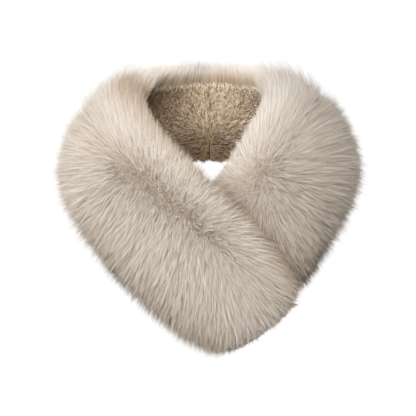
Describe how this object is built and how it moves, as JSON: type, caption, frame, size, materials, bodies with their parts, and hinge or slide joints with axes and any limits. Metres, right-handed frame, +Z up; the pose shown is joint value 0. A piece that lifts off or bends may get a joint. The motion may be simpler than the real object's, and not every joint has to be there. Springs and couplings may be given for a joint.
{
  "type": "fur collar wrap",
  "caption": "Long-haired fur collar wrap, worn and crossed on the chest, with a short plush lining and an open neck.",
  "frame": {"origin": "middle of the neck opening, level with the lower edge of the collar's back", "axes": "+Z up the wearer's neck, -Y the way the wearer faces, +X to the wearer's left, which is the viewer's right"},
  "size_m": [0.3702, 0.2918, 0.3231],
  "materials": {
    "fur": "long soft hair, pale cream beige with browner roots",
    "lining": "short tan plush"
  },
  "bodies": {
    "root": {"fur_back": "fur", "fur_front_over": "fur", "fur_front_under": "fur", "lining_over": "lining", "lining_under": "lining"}
  },
  "joints": []
}
